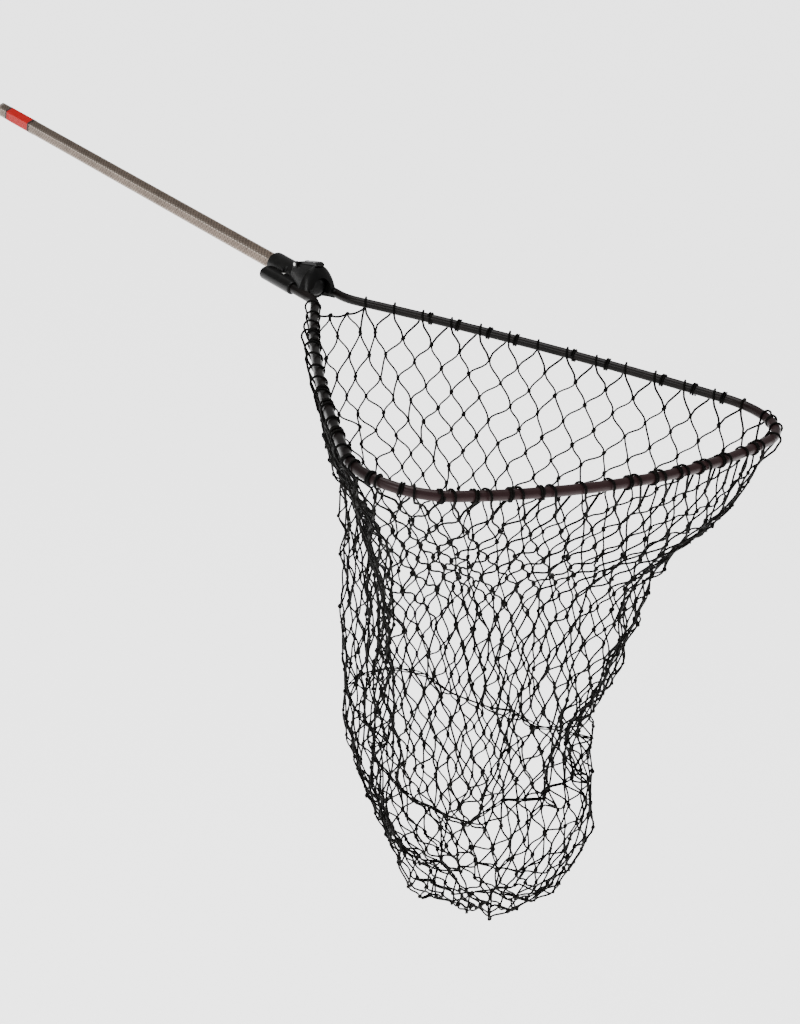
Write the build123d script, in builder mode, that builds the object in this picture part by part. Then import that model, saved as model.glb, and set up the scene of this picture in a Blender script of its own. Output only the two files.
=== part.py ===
"""Landing net with a sliding hexagonal handle, a two-shell yoke, a bent-tube hoop and a knotted net bag.

Millimetres. X runs forward along the handle's axis, from the hand to the front of the hoop, Z is up, and
the origin is where the handle's axis meets the yoke's rear face. The handle is shown fully drawn out.
"""
import os
from math import cos, radians, sin

from build123d import *

# Handle: hexagonal aluminium tube with one edge upward
HEX_FLATS = 22.2
HEX_WALL = 1.6
HEX_EDGE_RADIUS = 2.0
HEX_BORE_EDGE_RADIUS = 1.0
HANDLE_LENGTH = 914.4
HANDLE_FRONT = 90.0
HANDLE_REAR = HANDLE_FRONT - HANDLE_LENGTH
CAP_DOME = 12.0
CAP_END_RADIUS = 6.0
SPIGOT_LENGTH = 20.0
SPIGOT_GAP = 0.1
STOP_RADIUS = 14.2
STOP_THICKNESS = 15.0
STOP_EDGE_RADIUS = 6.0
PLUG_PIN_X = HANDLE_FRONT - 10.0
PLUG_PIN_RADIUS = 1.5
PLUG_PIN_RECESS = 0.2
LABEL_START = 24.0
LABEL_LENGTH = 82.0
LABEL_FILM = 0.25
LABEL_GAP = 0.05

# Hoop: round tube, its legs parallel to the handle and a little below it
TUBE_RADIUS = 6.35
TUBE_WALL = 1.4
HOOP_DROP = 8.0
LEG_OFFSET = 26.5
LEG_START = 16.0
LEG_BEND_X = 120.0
LEG_BEND_RADIUS = 45.0
LEG_BEND_ANGLE = 38.0
ARM_RADIUS = 2500.0
ARM_TURN = 12.0
CORNER_RADIUS = 90.0
RAIL_HALF_ANGLE = 16.4

# Yoke: two moulded shells that meet in the hoop's plane
YOKE_FRONT = 102.0
SHOULDER_END = 116.0
SLEEVE_RADIUS = 16.4
LEG_SLEEVE_RADIUS = 9.2
LEG_SLEEVE_START = 12.0
LEG_SLEEVE_END = 82.0
WEB_HALF_WIDTH = 22.0
WEB_HALF_THICKNESS = 6.0
WEB_FRONT = 101.0
BORE_GAP = 0.25
TUBE_GAP = 0.05
STOP_GAP = 0.5
STOP_SEAT_GAP = 0.3
LEG_END_GAP = 0.5
# hood sections: x, half width at the hoop's plane, height of the crown
HOOD_SECTIONS = ((46.0, 14.5, 16.0), (74.0, 24.5, 25.5), (98.0, 31.0, 30.5))
# the hood's flank passes through this share of its half width at this share of its rise
HOOD_FLANK_WIDTH = 0.72
HOOD_FLANK_RISE = 0.62
HOOD_FOOT_TANGENT = 0.35
NOSE_SECTIONS = ((98.0, 31.0, 30.5), (104.0, 30.0, 24.0), (113.0, 26.0, 6.0))
MOUTH_RADIUS = 17.0
MOUTH_START = 84.0
DECK_TOP = 1.2
DECK_END = 80.0
SLEEVE_EDGE_RADIUS = 2.0

# Fasteners
SCREW_X = 44.0
SCREW_Y = 16.2
SCREW_SEAT = -1.0
SCREW_RADIUS = 2.0
SCREW_HEAD_RADIUS = 3.6
SCREW_HEAD_HEIGHT = 2.4
SCREW_LENGTH = 16.0
HOLE_RADIUS = 2.2
HEAD_GAP = 0.4
HEAD_EDGE_RADIUS = 0.9
RECESS_FLATS = 2.5
RECESS_DEPTH = 1.2
NUT_GAP = 0.1
NUT_FLATS = 7.0
NUT_HEIGHT = 3.2
NUT_TIP_OFFSET = 0.4
LEG_PIN_X = 66.0
LEG_PIN_RADIUS = 1.5
LEG_PIN_LENGTH = 16.0

# Lock: cam lever on a cross pin that presses a vee pad on the handle's upper edge
PIVOT_X = 60.0
PIVOT_Z = 19.0
PIN_RADIUS = 1.25
PIN_HEAD_RADIUS = 2.4
PIN_HEAD_THICKNESS = 0.9
PIN_END = 1.5
PRESS_GAP = 0.02
TURN_GAP = 0.04
EAR_OUTER = 12.0
EAR_RADIUS = 4.4
CLIP_RADIUS = 2.6
CLIP_THICKNESS = 0.6
CLIP_GAP = 0.1
CAM_OFFSET = 0.49
CAM_ANGLE = 52.5
LEVER_WIDTH = 14.0
LEVER_SIDE_GAP = 0.3
LEVER_TIP_RADIUS = 1.2
PAD_LENGTH = 14.0
PAD_WIDTH = 13.0
PAD_TOP = 15.0
PAD_GAP = 0.05
PAD_WINDOW_GAP = 0.3
LEVER_SLOT = ((54.4, 45.0), (54.4, 16.4), (66.0, 16.4), (98.0, 27.0), (116.0, 27.0), (116.0, 45.0))
LEVER_OUTLINE = ((60.0, 22.9), (72.0, 27.2), (86.0, 31.0), (96.0, 33.4), (101.0, 32.2), (101.6, 29.4),
                 (98.0, 27.0), (67.0, 17.6), (60.0, 16.6))

# Net bag: it hangs plumb while the hoop is held a little nose-down and rolled, so it leans off the hoop
LEAN_X = 0.088
LEAN_Y = 0.106
NET_THICKNESS = 3.0
# depth below the hoop's plane, then the rear circle's x and radius and the front circles' x, y and radius
WALL_SECTIONS = ((9.5, 205.0, 52.0, 628.0, 230.0, 82.0), (150.0, 238.0, 54.0, 578.0, 158.0, 84.0),
                 (320.0, 262.0, 66.0, 552.0, 110.0, 90.0), (500.0, 290.0, 82.0, 520.0, 80.0, 98.0))
BASE_SECTIONS = ((503.0, 290.0, 82.0, 520.0, 80.0, 98.0), (610.0, 326.0, 88.0, 520.0, 64.0, 98.0),
                 (696.0, 386.0, 76.0, 510.0, 42.0, 80.0), (750.0, 450.0, 46.0, 498.0, 18.0, 50.0))
SEAM_DEPTH = 501.5
SEAM_RADIUS = 2.2
SEAM_GAP = 0.4
LOOP_TWINE_RADIUS = 1.1
LOOP_SPACING = 41.0
LOOP_GAP = 0.1
BARE_BEND = 12.0

ABOVE_ALL = 40.0


def hex_bar(start, length, flats, edge_radius, mode=Mode.ADD):
    """A rounded hexagonal bar along X, corner upward, in the part being built."""
    with BuildSketch(Plane.YZ.offset(start)) as section:
        RegularPolygon(radius=flats / 2, side_count=6, major_radius=False, rotation=30)
        fillet(section.vertices(), edge_radius)
    extrude(section.sketch, amount=length, mode=mode)


def x_cylinder(start, end, radius, y=0.0, z=0.0, mode=Mode.ADD):
    """A round bar along X from start to end, in the part being built."""
    with BuildSketch(Plane.YZ.offset(start)) as section:
        with Locations((y, z)):
            Circle(radius)
    extrude(section.sketch, amount=end - start, mode=mode)


def z_cylinders(points, bottom, top, radius, mode=Mode.ADD):
    """Upright round bars at the given X, Y points, in the part being built."""
    with BuildSketch(Plane.XY.offset(bottom)) as section:
        with Locations(*points):
            Circle(radius)
    extrude(section.sketch, amount=top - bottom, mode=mode)


def both_sides(x, y):
    """A point and its mirror image across the handle's axis."""
    return [(x, y), (x, -y)]


# Handle --------------------------------------------------------------------------------------------------

with BuildPart() as handle_tube:
    hex_bar(HANDLE_REAR, HANDLE_LENGTH, HEX_FLATS, HEX_EDGE_RADIUS)
    hex_bar(HANDLE_REAR, HANDLE_LENGTH, HEX_FLATS - 2 * HEX_WALL, HEX_BORE_EDGE_RADIUS, Mode.SUBTRACT)
    with BuildSketch(Plane.XZ.offset(-HEX_FLATS)) as cross_hole:
        with Locations((PLUG_PIN_X, 0)):
            Circle(PLUG_PIN_RADIUS)
    extrude(amount=2 * HEX_FLATS, mode=Mode.SUBTRACT)
handle_tube.part.label = "handle_tube"

SPIGOT_FLATS = HEX_FLATS - 2 * HEX_WALL - 2 * SPIGOT_GAP

with BuildPart() as butt_cap:
    hex_bar(HANDLE_REAR - CAP_DOME, CAP_DOME, HEX_FLATS, HEX_EDGE_RADIUS)
    fillet(butt_cap.faces().sort_by(Axis.X)[0].edges(), CAP_END_RADIUS)
    hex_bar(HANDLE_REAR, SPIGOT_LENGTH, SPIGOT_FLATS, HEX_BORE_EDGE_RADIUS)
butt_cap.part.label = "butt_cap"

with BuildPart() as front_plug:
    x_cylinder(HANDLE_FRONT, HANDLE_FRONT + STOP_THICKNESS, STOP_RADIUS)
    fillet(front_plug.edges().filter_by(GeomType.CIRCLE).sort_by(Axis.X)[-1:], STOP_EDGE_RADIUS)
    hex_bar(HANDLE_FRONT - SPIGOT_LENGTH, SPIGOT_LENGTH, SPIGOT_FLATS, HEX_BORE_EDGE_RADIUS)
    with BuildSketch(Plane.XZ.offset(-HEX_FLATS)) as plug_hole:
        with Locations((PLUG_PIN_X, 0)):
            Circle(PLUG_PIN_RADIUS)
    extrude(amount=2 * HEX_FLATS, mode=Mode.SUBTRACT)
front_plug.part.label = "front_plug"

with BuildPart() as plug_pin:
    with BuildSketch(Plane.XZ.offset(-HEX_FLATS / 2 + PLUG_PIN_RECESS)) as pin_end:
        with Locations((PLUG_PIN_X, 0)):
            Circle(PLUG_PIN_RADIUS)
            Circle(PLUG_PIN_RADIUS / 2, mode=Mode.SUBTRACT)
    extrude(amount=HEX_FLATS - 2 * PLUG_PIN_RECESS)
plug_pin.part.label = "plug_pin"

with BuildPart() as grip_label:
    label_inside = HEX_FLATS + 2 * LABEL_GAP
    label_outside = label_inside + 2 * LABEL_FILM
    label_x = HANDLE_REAR + LABEL_START
    hex_bar(label_x, LABEL_LENGTH, label_outside, HEX_EDGE_RADIUS + LABEL_GAP + LABEL_FILM)
    hex_bar(label_x, LABEL_LENGTH, label_inside, HEX_EDGE_RADIUS + LABEL_GAP, Mode.SUBTRACT)
grip_label.part.label = "grip_label"


# Hoop ----------------------------------------------------------------------------------------------------

with BuildLine(Plane.XY.offset(-HOOP_DROP)) as hoop_path:
    leg = Line((LEG_START, LEG_OFFSET), (LEG_BEND_X, LEG_OFFSET))
    bend = JernArc(leg @ 1, leg % 1, LEG_BEND_RADIUS, LEG_BEND_ANGLE)
    arm = JernArc(bend @ 1, bend % 1, ARM_RADIUS, -ARM_TURN)
    corner_turn = 90.0 - RAIL_HALF_ANGLE + LEG_BEND_ANGLE - ARM_TURN
    corner = JernArc(arm @ 1, arm % 1, CORNER_RADIUS, -corner_turn)
    rail_radius = (corner @ 1).Y / sin(radians(RAIL_HALF_ANGLE))
    rail = JernArc(corner @ 1, corner % 1, rail_radius, -RAIL_HALF_ANGLE)
    mirror(about=Plane.XZ)
hoop_wire = hoop_path.wires()[0]

leg_pin_points = both_sides(LEG_PIN_X, LEG_OFFSET)

with BuildPart() as hoop_tube:
    with BuildSketch(Plane.YZ.offset(LEG_START)) as tube_section:
        with Locations((LEG_OFFSET, -HOOP_DROP)):
            Circle(TUBE_RADIUS)
            Circle(TUBE_RADIUS - TUBE_WALL, mode=Mode.SUBTRACT)
    sweep(path=hoop_wire)
    z_cylinders(leg_pin_points, -ABOVE_ALL, ABOVE_ALL, LEG_PIN_RADIUS, Mode.SUBTRACT)
hoop_tube.part.label = "hoop_tube"


# Yoke ----------------------------------------------------------------------------------------------------

def hood_section(x, half_width, top):
    """A bell-shaped section across the yoke's upper half, standing on the hoop's plane."""
    flank_y = HOOD_FLANK_WIDTH * half_width
    flank_z = HOOD_FLANK_RISE * (top + HOOP_DROP) - HOOP_DROP
    with BuildSketch(Plane.YZ.offset(x)) as section:
        with BuildLine():
            crown = Spline((-half_width, -HOOP_DROP), (-flank_y, flank_z), (0, top), (flank_y, flank_z),
                           (half_width, -HOOP_DROP),
                           tangents=[(HOOD_FOOT_TANGENT, 1), (HOOD_FOOT_TANGENT, -1)])
            Line(crown @ 1, crown @ 0)
        make_face()
    return section.sketch


screw_points = both_sides(SCREW_X, SCREW_Y)
screw_tip = SCREW_SEAT - SCREW_LENGTH
nut_bottom = screw_tip + NUT_TIP_OFFSET

with BuildPart() as handle_sleeve:
    x_cylinder(0, YOKE_FRONT, SLEEVE_RADIUS)
    fillet(handle_sleeve.edges().sort_by(Axis.X)[0], SLEEVE_EDGE_RADIUS)

with BuildPart() as leg_sleeve:
    x_cylinder(LEG_SLEEVE_START, LEG_SLEEVE_END, LEG_SLEEVE_RADIUS)
    fillet(leg_sleeve.edges().filter_by(GeomType.CIRCLE), SLEEVE_EDGE_RADIUS)

with BuildPart() as yoke_block:
    add(handle_sleeve.part)
    with Locations((0, LEG_OFFSET, -HOOP_DROP), (0, -LEG_OFFSET, -HOOP_DROP)):
        add(leg_sleeve.part)
    with BuildSketch(Plane.XY.offset(-HOOP_DROP)) as deck:
        with Locations(((LEG_SLEEVE_START + DECK_END) / 2, 0)):
            Rectangle(DECK_END - LEG_SLEEVE_START, 2 * LEG_OFFSET)
    extrude(amount=HOOP_DROP + DECK_TOP)
    loft([hood_section(x, half_width, top) for x, half_width, top in HOOD_SECTIONS])
    loft([hood_section(x, half_width, top) for x, half_width, top in NOSE_SECTIONS])
    x_cylinder(MOUTH_START, YOKE_FRONT, MOUTH_RADIUS)
    with BuildSketch(Plane.XY.offset(-HOOP_DROP - WEB_HALF_THICKNESS)) as web:
        with BuildLine():
            front_edge = ThreePointArc((SHOULDER_END, WEB_HALF_WIDTH), (WEB_FRONT, 0),
                                       (SHOULDER_END, -WEB_HALF_WIDTH))
            Polyline(front_edge @ 1, (LEG_SLEEVE_START, -WEB_HALF_WIDTH), (LEG_SLEEVE_START, WEB_HALF_WIDTH),
                     front_edge @ 0)
        make_face()
    extrude(amount=2 * WEB_HALF_THICKNESS)
    with BuildSketch(Plane.XZ.offset(-EAR_OUTER)) as ears:
        with Locations((PIVOT_X, PIVOT_Z)):
            Circle(EAR_RADIUS)
        with Locations((PIVOT_X, PIVOT_Z - EAR_RADIUS)):
            Rectangle(2 * EAR_RADIUS, 2 * EAR_RADIUS)
    extrude(amount=2 * EAR_OUTER)
    hex_bar(-1, YOKE_FRONT + 2, HEX_FLATS + 2 * BORE_GAP, HEX_EDGE_RADIUS, Mode.SUBTRACT)
    x_cylinder(HANDLE_FRONT - STOP_SEAT_GAP, SHOULDER_END + 1, STOP_RADIUS + STOP_GAP, mode=Mode.SUBTRACT)
    for side in (-1, 1):
        x_cylinder(LEG_START - LEG_END_GAP, SHOULDER_END + 1, TUBE_RADIUS + TUBE_GAP, side * LEG_OFFSET,
                   -HOOP_DROP, Mode.SUBTRACT)
    with BuildSketch(Plane.XZ.offset(-LEVER_WIDTH / 2 - LEVER_SIDE_GAP)) as slot:
        with BuildLine():
            Polyline(*LEVER_SLOT, close=True)
        make_face()
    extrude(amount=LEVER_WIDTH + 2 * LEVER_SIDE_GAP, mode=Mode.SUBTRACT)
    with BuildSketch(Plane.XY) as pad_window:
        with Locations((PIVOT_X, 0)):
            Rectangle(PAD_LENGTH + 2 * PAD_WINDOW_GAP, LEVER_WIDTH)
    extrude(amount=ABOVE_ALL, mode=Mode.SUBTRACT)
    with BuildSketch(Plane.XZ.offset(-ABOVE_ALL)) as pivot_hole:
        with Locations((PIVOT_X, PIVOT_Z)):
            Circle(PIN_RADIUS + PRESS_GAP)
    extrude(amount=2 * ABOVE_ALL, mode=Mode.SUBTRACT)
    z_cylinders(screw_points, -ABOVE_ALL, ABOVE_ALL, HOLE_RADIUS, Mode.SUBTRACT)
    z_cylinders(screw_points, SCREW_SEAT, ABOVE_ALL, SCREW_HEAD_RADIUS + HEAD_GAP, Mode.SUBTRACT)
    with BuildSketch(Plane.XY.offset(nut_bottom + NUT_HEIGHT + NUT_GAP)) as nut_pockets:
        with Locations(*screw_points):
            RegularPolygon(radius=NUT_FLATS / 2 + NUT_GAP, side_count=6, major_radius=False)
    extrude(amount=-ABOVE_ALL, mode=Mode.SUBTRACT)
    z_cylinders(leg_pin_points, -HOOP_DROP - LEG_PIN_LENGTH / 2, -HOOP_DROP + LEG_PIN_LENGTH / 2,
                LEG_PIN_RADIUS, Mode.SUBTRACT)

with BuildPart() as yoke_top_shell:
    add(yoke_block.part)
    split(bisect_by=Plane.XY.offset(-HOOP_DROP), keep=Keep.TOP)
yoke_top_shell.part.label = "yoke_top_shell"

with BuildPart() as yoke_bottom_shell:
    add(yoke_block.part)
    split(bisect_by=Plane.XY.offset(-HOOP_DROP), keep=Keep.BOTTOM)
yoke_bottom_shell.part.label = "yoke_bottom_shell"


# Fasteners -----------------------------------------------------------------------------------------------

with BuildPart() as clamp_screws:
    z_cylinders(screw_points, screw_tip, SCREW_SEAT, SCREW_RADIUS)
    z_cylinders(screw_points, SCREW_SEAT, SCREW_SEAT + SCREW_HEAD_HEIGHT, SCREW_HEAD_RADIUS)
    top_rims = clamp_screws.faces().filter_by(Axis.Z).sort_by(Axis.Z)[-2:].edges()
    fillet(top_rims, HEAD_EDGE_RADIUS)
    with BuildSketch(Plane.XY.offset(SCREW_SEAT + SCREW_HEAD_HEIGHT - RECESS_DEPTH)) as recess:
        with Locations(*screw_points):
            RegularPolygon(radius=RECESS_FLATS / 2, side_count=6, major_radius=False)
    extrude(amount=ABOVE_ALL, mode=Mode.SUBTRACT)
clamp_screws.part.label = "clamp_screws"

with BuildPart() as clamp_nuts:
    with BuildSketch(Plane.XY.offset(nut_bottom)) as nut_outline:
        with Locations(*screw_points):
            RegularPolygon(radius=NUT_FLATS / 2, side_count=6, major_radius=False)
            Circle(SCREW_RADIUS + PRESS_GAP, mode=Mode.SUBTRACT)
    extrude(amount=NUT_HEIGHT)
clamp_nuts.part.label = "clamp_nuts"

with BuildPart() as leg_pins:
    z_cylinders(leg_pin_points, -HOOP_DROP - LEG_PIN_LENGTH / 2, -HOOP_DROP + LEG_PIN_LENGTH / 2,
                LEG_PIN_RADIUS - PRESS_GAP)
leg_pins.part.label = "leg_pins"


# Lock ----------------------------------------------------------------------------------------------------

cam_x = PIVOT_X + CAM_OFFSET * sin(radians(CAM_ANGLE))
cam_z = PIVOT_Z - CAM_OFFSET * cos(radians(CAM_ANGLE))
cam_radius = cam_z - PAD_TOP - PAD_GAP

with BuildPart() as lock_lever:
    with BuildSketch(Plane.XZ.offset(-LEVER_WIDTH / 2)) as lever_outline:
        with BuildLine():
            Polyline(*LEVER_OUTLINE, close=True)
        make_face()
        fillet(lever_outline.vertices().sort_by(Axis.X)[-3:], LEVER_TIP_RADIUS)
        with Locations((cam_x, cam_z)):
            Circle(cam_radius)
        with Locations((PIVOT_X, PIVOT_Z)):
            Circle(PIN_RADIUS + TURN_GAP, mode=Mode.SUBTRACT)
    extrude(amount=LEVER_WIDTH)
lock_lever.part.label = "lock_lever"

with BuildPart() as lever_pin:
    for start, length, radius in ((-EAR_OUTER - PIN_HEAD_THICKNESS, PIN_HEAD_THICKNESS, PIN_HEAD_RADIUS),
                                  (-EAR_OUTER, 2 * EAR_OUTER + PIN_END, PIN_RADIUS)):
        with BuildSketch(Plane.XZ.offset(-start)) as pin_section:
            with Locations((PIVOT_X, PIVOT_Z)):
                Circle(radius)
        extrude(amount=-length)
lever_pin.part.label = "lever_pin"

with BuildPart() as pin_clip:
    with BuildSketch(Plane.XZ.offset(-EAR_OUTER - CLIP_GAP)) as clip_section:
        with Locations((PIVOT_X, PIVOT_Z)):
            Circle(CLIP_RADIUS)
            Circle(PIN_RADIUS + PRESS_GAP, mode=Mode.SUBTRACT)
    extrude(amount=-CLIP_THICKNESS)
pin_clip.part.label = "pin_clip"

with BuildPart() as brake_pad:
    with BuildSketch(Plane.XY) as pad_outline:
        with Locations((PIVOT_X, 0)):
            Rectangle(PAD_LENGTH, PAD_WIDTH)
    extrude(amount=PAD_TOP)
    hex_bar(PIVOT_X - PAD_LENGTH, 2 * PAD_LENGTH, HEX_FLATS + 2 * PAD_GAP, HEX_EDGE_RADIUS, Mode.SUBTRACT)
brake_pad.part.label = "brake_pad"


# Net -----------------------------------------------------------------------------------------------------

def net_outline(section, inset=0.0, lift=0.0):
    """The bag's outline at one depth: the hull of a rear circle and two front circles, level."""
    depth, rear_x, rear_radius, front_x, front_y, front_radius = section
    shift_x = LEAN_X * depth
    shift_y = LEAN_Y * depth
    with BuildSketch(Plane.XY.offset(-HOOP_DROP - depth + lift)) as outline:
        with BuildSketch(mode=Mode.PRIVATE) as circles:
            with Locations((rear_x + shift_x, shift_y)):
                Circle(rear_radius - inset)
            with Locations((front_x + shift_x, shift_y + front_y), (front_x + shift_x, shift_y - front_y)):
                Circle(front_radius - inset)
        make_hull(circles.edges())
    return outline.sketch


with BuildPart() as net_wall:
    loft([net_outline(section) for section in WALL_SECTIONS])
    loft([net_outline(section, NET_THICKNESS) for section in WALL_SECTIONS], mode=Mode.SUBTRACT)
net_wall.part.label = "net_wall"

with BuildPart() as net_base:
    loft([net_outline(section) for section in BASE_SECTIONS])
    inner_sections = [net_outline(section, NET_THICKNESS) for section in BASE_SECTIONS[:-1]]
    inner_sections.append(net_outline(BASE_SECTIONS[-1], NET_THICKNESS, NET_THICKNESS))
    loft(inner_sections, mode=Mode.SUBTRACT)
net_base.part.label = "net_base"

seam_section = (SEAM_DEPTH,) + WALL_SECTIONS[-1][1:]
seam_inside = net_outline(seam_section, -SEAM_GAP, -SEAM_RADIUS)
seam_outside = net_outline(seam_section, -SEAM_GAP - 2 * SEAM_RADIUS, -SEAM_RADIUS)

with BuildPart() as seam_cord:
    extrude(seam_outside, amount=2 * SEAM_RADIUS)
    extrude(seam_inside, amount=2 * SEAM_RADIUS, mode=Mode.SUBTRACT)
    fillet(seam_cord.faces().filter_by(Axis.Z).edges(), 0.9 * SEAM_RADIUS)
seam_cord.part.label = "seam_cord"

bare_leg = LEG_BEND_X - LEG_START + LEG_BEND_RADIUS * radians(LEG_BEND_ANGLE) + BARE_BEND
loop_run = hoop_wire.length - 2 * bare_leg
loop_count = round(loop_run / LOOP_SPACING)
loop_planes = []
for number in range(loop_count + 1):
    along = (bare_leg + loop_run * number / loop_count) / hoop_wire.length
    loop_planes.append(Plane(origin=hoop_wire @ along, z_dir=hoop_wire % along))

with BuildPart() as rim_loops:
    with Locations(*loop_planes):
        Torus(TUBE_RADIUS + LOOP_GAP + LOOP_TWINE_RADIUS, LOOP_TWINE_RADIUS)
rim_loops.part.label = "rim_loops"


pieces = [handle_tube, butt_cap, front_plug, plug_pin, grip_label, hoop_tube, yoke_top_shell,
          yoke_bottom_shell, clamp_screws, clamp_nuts, leg_pins, lock_lever, lever_pin, pin_clip, brake_pad,
          net_wall, net_base, seam_cord, rim_loops]

os.makedirs("parts", exist_ok=True)
for piece in pieces:
    export_step(piece.part, f"parts/{piece.part.label}.step")

print("hoop: perimeter", round(hoop_wire.length), "loops", loop_count + 1)
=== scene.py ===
"""Landing net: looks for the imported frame. A knurled handle, a moulded yoke, a tube hoop and a draped net."""
from __future__ import annotations

import logging
import math
from dataclasses import dataclass
from enum import Enum

import bmesh
import bpy
import numpy as np
from bpy.types import Material, Mesh, Node, NodeSocket, NodeTree, Object
from mathutils import Matrix, Vector
from mathutils.geometry import convex_hull_2d
from numpy.linalg import norm

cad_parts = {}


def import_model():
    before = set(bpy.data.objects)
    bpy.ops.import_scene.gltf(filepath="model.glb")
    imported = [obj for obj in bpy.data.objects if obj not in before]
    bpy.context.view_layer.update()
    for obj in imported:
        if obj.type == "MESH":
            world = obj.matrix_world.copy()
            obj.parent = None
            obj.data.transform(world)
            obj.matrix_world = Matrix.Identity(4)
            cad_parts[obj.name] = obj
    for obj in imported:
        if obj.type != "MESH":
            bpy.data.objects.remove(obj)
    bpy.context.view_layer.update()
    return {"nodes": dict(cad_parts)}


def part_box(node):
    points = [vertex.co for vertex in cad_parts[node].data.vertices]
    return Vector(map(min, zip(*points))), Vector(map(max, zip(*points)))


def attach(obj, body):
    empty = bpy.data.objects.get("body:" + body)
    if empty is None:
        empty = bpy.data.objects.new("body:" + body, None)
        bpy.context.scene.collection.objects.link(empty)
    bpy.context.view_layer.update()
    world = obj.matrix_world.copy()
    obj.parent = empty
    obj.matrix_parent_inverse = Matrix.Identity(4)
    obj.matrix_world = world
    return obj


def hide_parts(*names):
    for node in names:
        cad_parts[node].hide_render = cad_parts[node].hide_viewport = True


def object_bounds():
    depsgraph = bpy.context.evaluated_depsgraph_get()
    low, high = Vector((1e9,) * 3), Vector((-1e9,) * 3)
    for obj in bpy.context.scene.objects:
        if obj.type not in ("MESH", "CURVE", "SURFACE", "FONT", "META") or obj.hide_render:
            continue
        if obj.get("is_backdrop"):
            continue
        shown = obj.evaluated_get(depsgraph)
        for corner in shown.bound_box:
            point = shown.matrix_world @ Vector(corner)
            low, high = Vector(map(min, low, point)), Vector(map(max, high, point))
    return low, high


logging.basicConfig(level=logging.INFO, format="%(message)s")
log = logging.getLogger("landing_net")

MM = 0.001
GRAVITY = 9.81
UP = np.array([0.0, 0.0, 1.0])


class Body(Enum):
    """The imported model's bodies."""

    HANDLE = "handle"
    NET = "net_frame"
    LEVER = "lever"


# Shader expressions


def add_node(tree: NodeTree, kind: str, settings: dict, inputs: dict) -> Node:
    """Adds a node to a tree.

    Args:
        tree: a shader or Geometry Nodes tree.
        kind: the node's type name.
        settings: its properties, set before its inputs.
        inputs: values or sockets by input name or number.

    Returns:
        The new node.
    """
    made = tree.nodes.new(kind)
    for key, setting in settings.items():
        setattr(made, key, setting)
    for key, value in inputs.items():
        if isinstance(key, int):
            target = made.inputs[key]
        else:
            target = next(s for s in made.inputs if s.name == key and s.enabled)
        value = value.socket if isinstance(value, Value) else value
        if isinstance(value, NodeSocket):
            tree.links.new(value, target)
        else:
            target.default_value = value
    return made


class Value:
    """A node socket that can stand in arithmetic, so that a shader reads as a formula."""

    def __init__(self, graph: Graph, socket: NodeSocket) -> None:
        self.graph = graph
        self.socket = socket

    def _math(self, operation: str, first, second) -> Value:
        settings = {"operation": operation}
        return self.graph.node("Math", settings, {0: first, 1: second}).out("Value")

    def __add__(self, other) -> Value:
        return self._math("ADD", self, other)

    def __radd__(self, other) -> Value:
        return self._math("ADD", other, self)

    def __sub__(self, other) -> Value:
        return self._math("SUBTRACT", self, other)

    def __rsub__(self, other) -> Value:
        return self._math("SUBTRACT", other, self)

    def __mul__(self, other) -> Value:
        return self._math("MULTIPLY", self, other)

    def __rmul__(self, other) -> Value:
        return self._math("MULTIPLY", other, self)

    def __truediv__(self, other) -> Value:
        return self._math("DIVIDE", self, other)

    def __rtruediv__(self, other) -> Value:
        return self._math("DIVIDE", other, self)

    def least(self, other) -> Value:
        """The smaller of the two values."""
        return self._math("MINIMUM", self, other)

    def most(self, other) -> Value:
        """The larger of the two values."""
        return self._math("MAXIMUM", self, other)

    def sine(self) -> Value:
        """The sine of this value in radians."""
        return self._math("SINE", self, 0.0)

    def ramp(self, low: float, high: float, start: float = 0.0, end: float = 1.0) -> Value:
        """Maps low..high smoothly to start..end, held at both ends."""
        settings = {"interpolation_type": "SMOOTHSTEP"}
        inputs = {"Value": self, "From Min": low, "From Max": high, "To Min": start, "To Max": end}
        return self.graph.node("MapRange", settings, inputs).out("Result")


class NodeOutputs:
    """One node of a graph, asked for its outputs by name."""

    def __init__(self, graph: Graph, node: Node) -> None:
        self.graph = graph
        self.node = node

    def out(self, name: str) -> Value:
        """Gives one output by name, the enabled one where several share it."""
        for socket in self.node.outputs:
            if socket.name == name and socket.enabled:
                return Value(self.graph, socket)
        raise KeyError(name)


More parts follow.
